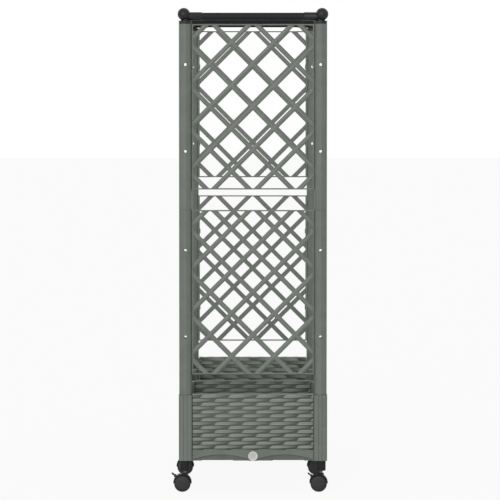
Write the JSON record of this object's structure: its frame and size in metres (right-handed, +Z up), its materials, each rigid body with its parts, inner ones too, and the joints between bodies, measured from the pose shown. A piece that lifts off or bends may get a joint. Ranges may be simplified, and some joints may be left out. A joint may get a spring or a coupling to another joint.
{
  "type": "planter with trellis",
  "caption": "Long rolling planter with woven-look walls, split soil bays over water trays, swivel casters and a lattice trellis panel frame at each end.",
  "frame": {"origin": "on the floor, in the middle of the bounding box", "axes": "+Z up, Y along the planter with the front trellis at -Y, X across it"},
  "size_m": [0.4792, 1.2324, 1.4197],
  "materials": {
    "grey_resin": "satin moulded polypropylene, warm grey-green",
    "woven_resin": "moulded wicker pattern in satin polypropylene",
    "black_resin": "glossy moulded nylon, black",
    "coated_tube": "satin black powder coat on steel tube",
    "tray_resin": "matte moulded polypropylene, dark grey",
    "plug_resin": "soft light grey moulding",
    "wheel_resin": "satin nylon, dark grey"
  },
  "bodies": {
    "planter_frame": {"front_left_column": "grey_resin", "front_left_lower_post": "grey_resin", "front_left_upper_post": "grey_resin", "front_left_connector": "black_resin", "front_right_column": "grey_resin", "front_right_lower_post": "grey_resin", "front_right_upper_post": "grey_resin", "front_right_connector": "black_resin", "rear_right_column": "grey_resin", "rear_right_lower_post": "grey_resin", "rear_right_upper_post": "grey_resin", "rear_right_connector": "black_resin", "rear_left_column": "grey_resin", "rear_left_lower_post": "grey_resin", "rear_left_upper_post": "grey_resin", "rear_left_connector": "black_resin", "front_lower_trellis": "grey_resin", "front_upper_trellis": "grey_resin", "front_top_tube": "coated_tube", "front_wall": "woven_resin", "rear_lower_trellis": "grey_resin", "rear_upper_trellis": "grey_resin", "rear_top_tube": "coated_tube", "rear_wall": "woven_resin", "left_top_tube": "coated_tube", "left_front_wall": "woven_resin", "left_middle_wall": "woven_resin", "left_rear_wall": "woven_resin", "right_top_tube": "coated_tube", "right_front_wall": "woven_resin", "right_middle_wall": "woven_resin", "right_rear_wall": "woven_resin", "middle_top_tube": "coated_tube", "divider": "woven_resin", "front_water_tray": "tray_resin", "front_watering_floor": "tray_resin", "rear_water_tray": "tray_resin", "rear_watering_floor": "tray_resin"},
    "left_caster_1_swivel": {"left_caster_1_housing": "black_resin"},
    "left_caster_1_axle": {"left_caster_1_wheels": "wheel_resin"},
    "left_caster_1_pedal": {"left_caster_1_brake_lever": "black_resin"},
    "right_caster_1_swivel": {"right_caster_1_housing": "black_resin"},
    "right_caster_1_axle": {"right_caster_1_wheels": "wheel_resin"},
    "right_caster_1_pedal": {"right_caster_1_brake_lever": "black_resin"},
    "left_caster_2_swivel": {"left_caster_2_housing": "black_resin"},
    "left_caster_2_axle": {"left_caster_2_wheels": "wheel_resin"},
    "right_caster_2_swivel": {"right_caster_2_housing": "black_resin"},
    "right_caster_2_axle": {"right_caster_2_wheels": "wheel_resin"},
    "left_caster_3_swivel": {"left_caster_3_housing": "black_resin"},
    "left_caster_3_axle": {"left_caster_3_wheels": "wheel_resin"},
    "right_caster_3_swivel": {"right_caster_3_housing": "black_resin"},
    "right_caster_3_axle": {"right_caster_3_wheels": "wheel_resin"},
    "left_caster_4_swivel": {"left_caster_4_housing": "black_resin"},
    "left_caster_4_axle": {"left_caster_4_wheels": "wheel_resin"},
    "left_caster_4_pedal": {"left_caster_4_brake_lever": "black_resin"},
    "right_caster_4_swivel": {"right_caster_4_housing": "black_resin"},
    "right_caster_4_axle": {"right_caster_4_wheels": "wheel_resin"},
    "right_caster_4_pedal": {"right_caster_4_brake_lever": "black_resin"},
    "front_plug": {"front_drain_plug": "plug_resin"},
    "rear_plug": {"rear_drain_plug": "plug_resin"}
  },
  "joints": [
    {"name": "left_caster_1_swivel_turn", "type": "hinge", "parent": "planter_frame", "child": "left_caster_1_swivel", "pos_m": [-0.2004, -0.5964, 0.07], "axis": [0, 0, 1], "continuous": true},
    {"name": "left_caster_1_wheel_spin", "type": "hinge", "parent": "left_caster_1_swivel", "child": "left_caster_1_axle", "pos_m": [-0.20755, -0.5964, 0.0242], "axis": [0, 1, 0], "continuous": true},
    {"name": "left_caster_1_brake_press", "type": "hinge", "parent": "left_caster_1_swivel", "child": "left_caster_1_pedal", "pos_m": [-0.22975, -0.5964, 0.0468], "axis": [0, -1, 0], "range_deg": [0, 22]},
    {"name": "right_caster_1_swivel_turn", "type": "hinge", "parent": "planter_frame", "child": "right_caster_1_swivel", "pos_m": [0.2004, -0.5964, 0.07], "axis": [0, 0, 1], "continuous": true},
    {"name": "right_caster_1_wheel_spin", "type": "hinge", "parent": "right_caster_1_swivel", "child": "right_caster_1_axle", "pos_m": [0.19325, -0.5964, 0.0242], "axis": [0, 1, 0], "continuous": true},
    {"name": "right_caster_1_brake_press", "type": "hinge", "parent": "right_caster_1_swivel", "child": "right_caster_1_pedal", "pos_m": [0.17105, -0.5964, 0.0468], "axis": [0, -1, 0], "range_deg": [0, 22]},
    {"name": "left_caster_2_swivel_turn", "type": "hinge", "parent": "planter_frame", "child": "left_caster_2_swivel", "pos_m": [-0.2004, -0.198, 0.07], "axis": [0, 0, 1], "continuous": true},
    {"name": "left_caster_2_wheel_spin", "type": "hinge", "parent": "left_caster_2_swivel", "child": "left_caster_2_axle", "pos_m": [-0.20755, -0.198, 0.0242], "axis": [0, 1, 0], "continuous": true},
    {"name": "right_caster_2_swivel_turn", "type": "hinge", "parent": "planter_frame", "child": "right_caster_2_swivel", "pos_m": [0.2004, -0.198, 0.07], "axis": [0, 0, 1], "continuous": true},
    {"name": "right_caster_2_wheel_spin", "type": "hinge", "parent": "right_caster_2_swivel", "child": "right_caster_2_axle", "pos_m": [0.19325, -0.198, 0.0242], "axis": [0, 1, 0], "continuous": true},
    {"name": "left_caster_3_swivel_turn", "type": "hinge", "parent": "planter_frame", "child": "left_caster_3_swivel", "pos_m": [-0.2004, 0.198, 0.07], "axis": [0, 0, 1], "continuous": true},
    {"name": "left_caster_3_wheel_spin", "type": "hinge", "parent": "left_caster_3_swivel", "child": "left_caster_3_axle", "pos_m": [-0.19325, 0.198, 0.0242], "axis": [0, 1, 0], "continuous": true},
    {"name": "right_caster_3_swivel_turn", "type": "hinge", "parent": "planter_frame", "child": "right_caster_3_swivel", "pos_m": [0.2004, 0.198, 0.07], "axis": [0, 0, 1], "continuous": true},
    {"name": "right_caster_3_wheel_spin", "type": "hinge", "parent": "right_caster_3_swivel", "child": "right_caster_3_axle", "pos_m": [0.20755, 0.198, 0.0242], "axis": [0, 1, 0], "continuous": true},
    {"name": "left_caster_4_swivel_turn", "type": "hinge", "parent": "planter_frame", "child": "left_caster_4_swivel", "pos_m": [-0.2004, 0.5964, 0.07], "axis": [0, 0, 1], "continuous": true},
    {"name": "left_caster_4_wheel_spin", "type": "hinge", "parent": "left_caster_4_swivel", "child": "left_caster_4_axle", "pos_m": [-0.19325, 0.5964, 0.0242], "axis": [0, 1, 0], "continuous": true},
    {"name": "left_caster_4_brake_press", "type": "hinge", "parent": "left_caster_4_swivel", "child": "left_caster_4_pedal", "pos_m": [-0.17105, 0.5964, 0.0468], "axis": [0, 1, 0], "range_deg": [0, 22]},
    {"name": "right_caster_4_swivel_turn", "type": "hinge", "parent": "planter_frame", "child": "right_caster_4_swivel", "pos_m": [0.2004, 0.5964, 0.07], "axis": [0, 0, 1], "continuous": true},
    {"name": "right_caster_4_wheel_spin", "type": "hinge", "parent": "right_caster_4_swivel", "child": "right_caster_4_axle", "pos_m": [0.20755, 0.5964, 0.0242], "axis": [0, 1, 0], "continuous": true},
    {"name": "right_caster_4_brake_press", "type": "hinge", "parent": "right_caster_4_swivel", "child": "right_caster_4_pedal", "pos_m": [0.22975, 0.5964, 0.0468], "axis": [0, 1, 0], "range_deg": [0, 22]},
    {"name": "front_plug_pull", "type": "slide", "parent": "planter_frame", "child": "front_plug", "axis": [0, -1, 0], "range_m": [0, 0.025]},
    {"name": "rear_plug_pull", "type": "slide", "parent": "planter_frame", "child": "rear_plug", "axis": [0, 1, 0], "range_m": [0, 0.025]}
  ]
}
